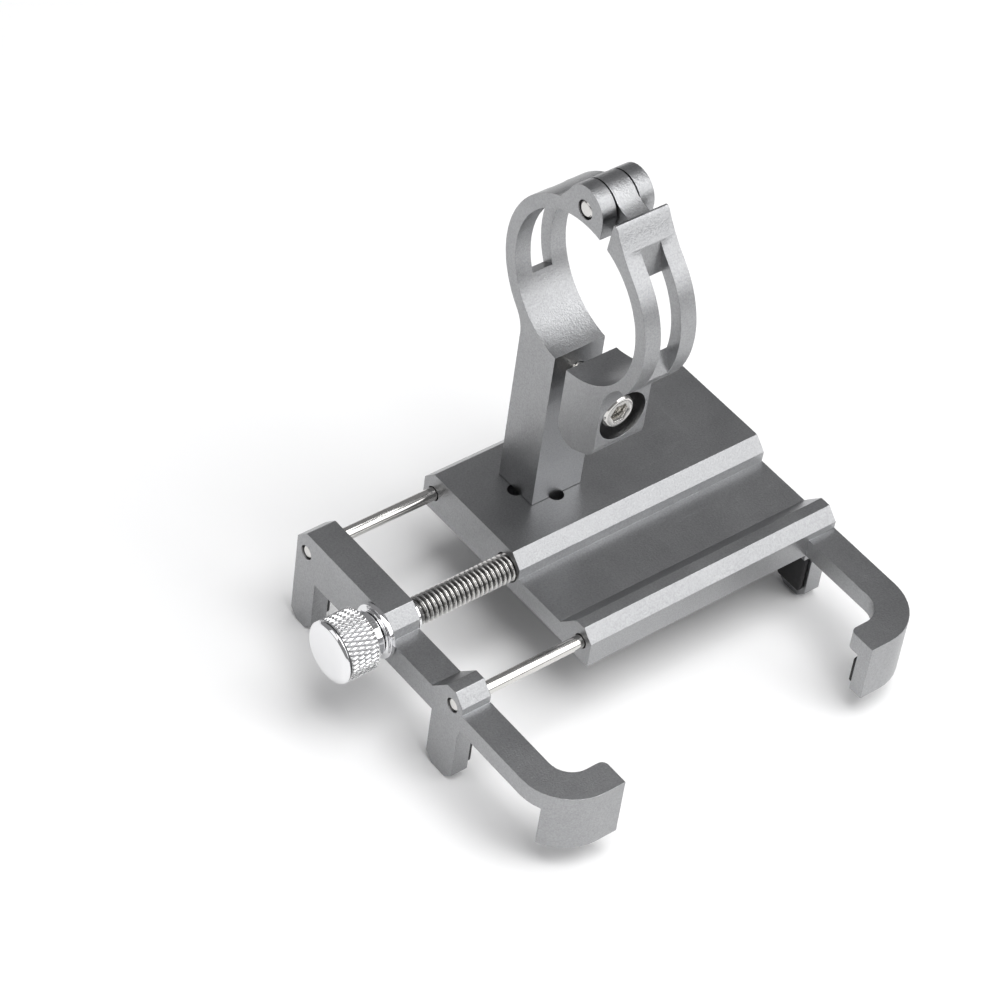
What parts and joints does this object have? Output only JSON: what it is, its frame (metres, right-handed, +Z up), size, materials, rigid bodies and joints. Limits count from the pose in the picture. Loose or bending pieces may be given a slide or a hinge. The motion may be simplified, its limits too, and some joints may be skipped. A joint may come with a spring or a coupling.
{
  "type": "bicycle phone mount",
  "caption": "Metal handlebar phone mount: a claw plate with a screw-driven sliding jaw, and a hinged ring clamp on a pillar.",
  "frame": {"origin": "middle of the footprint, on the surface that the claw tips stand on", "axes": "+X along the guide rods from the thumb knob to the fixed jaw, +Y along the phone away from the corner hooks, +Z up from the phone to the handlebar ring"},
  "size_m": [0.0962, 0.0744, 0.0968],
  "materials": {
    "anodised_aluminium": "grey anodised over a fine blasted grain, satin",
    "chrome_plate": "polished plate",
    "steel": "ground and polished stainless",
    "rubber": "matt black",
    "foam": "matt black closed-cell foam"
  },
  "bodies": {
    "plate": {"back_plate": "anodised_aluminium", "clamp_pillar": "anodised_aluminium", "hinge_pin": "steel", "pillar_screw": "steel", "plate_pad_upper": "foam", "plate_pad_lower": "foam", "claw_pad_fixed_upper": "rubber", "claw_pad_fixed_lower": "rubber", "hook_pad_fixed": "rubber"},
    "jaw": {"movable_jaw": "anodised_aluminium", "guide_rod_upper": "steel", "guide_rod_lower": "steel", "claw_pad_moving_upper": "rubber", "claw_pad_moving_lower": "rubber", "hook_pad_moving": "rubber"},
    "screw": {"lead_screw": "chrome_plate", "thumb_knob": "chrome_plate", "thrust_washer": "chrome_plate", "retaining_clip": "chrome_plate"},
    "arm": {"clamp_arm": "anodised_aluminium"},
    "bolt_carrier": {"bolt_washer": "steel"},
    "bolt": {"clamp_bolt": "steel"}
  },
  "joints": [
    {"name": "jaw_slide", "type": "slide", "parent": "plate", "child": "jaw", "axis": [-1, 0, 0], "range_m": [-0.02, 0.02]},
    {"name": "screw_turn", "type": "hinge", "parent": "jaw", "child": "screw", "pos_m": [-0.0089, 0.0129, 0.0177], "axis": [-1, 0, 0], "range_deg": [-7300, 7300]},
    {"name": "arm_swing", "type": "hinge", "parent": "plate", "child": "arm", "pos_m": [0.00665, 0.0178, 0.0923], "axis": [-1, 0, 0], "range_deg": [0, 110]},
    {"name": "bolt_travel", "type": "slide", "parent": "arm", "child": "bolt_carrier", "axis": [0, -1, 0], "range_m": [0, 0.0079]},
    {"name": "bolt_turn", "type": "hinge", "parent": "bolt_carrier", "child": "bolt", "pos_m": [0.00665, 0.012, 0.0521], "axis": [0, -1, 0], "range_deg": [0, 4125]}
  ],
  "couplings": [
    {"joint": "screw_turn", "follows": "jaw_slide", "rad_per_m": 6283.2},
    {"joint": "bolt_turn", "follows": "bolt_travel", "rad_per_m": 8976}
  ]
}
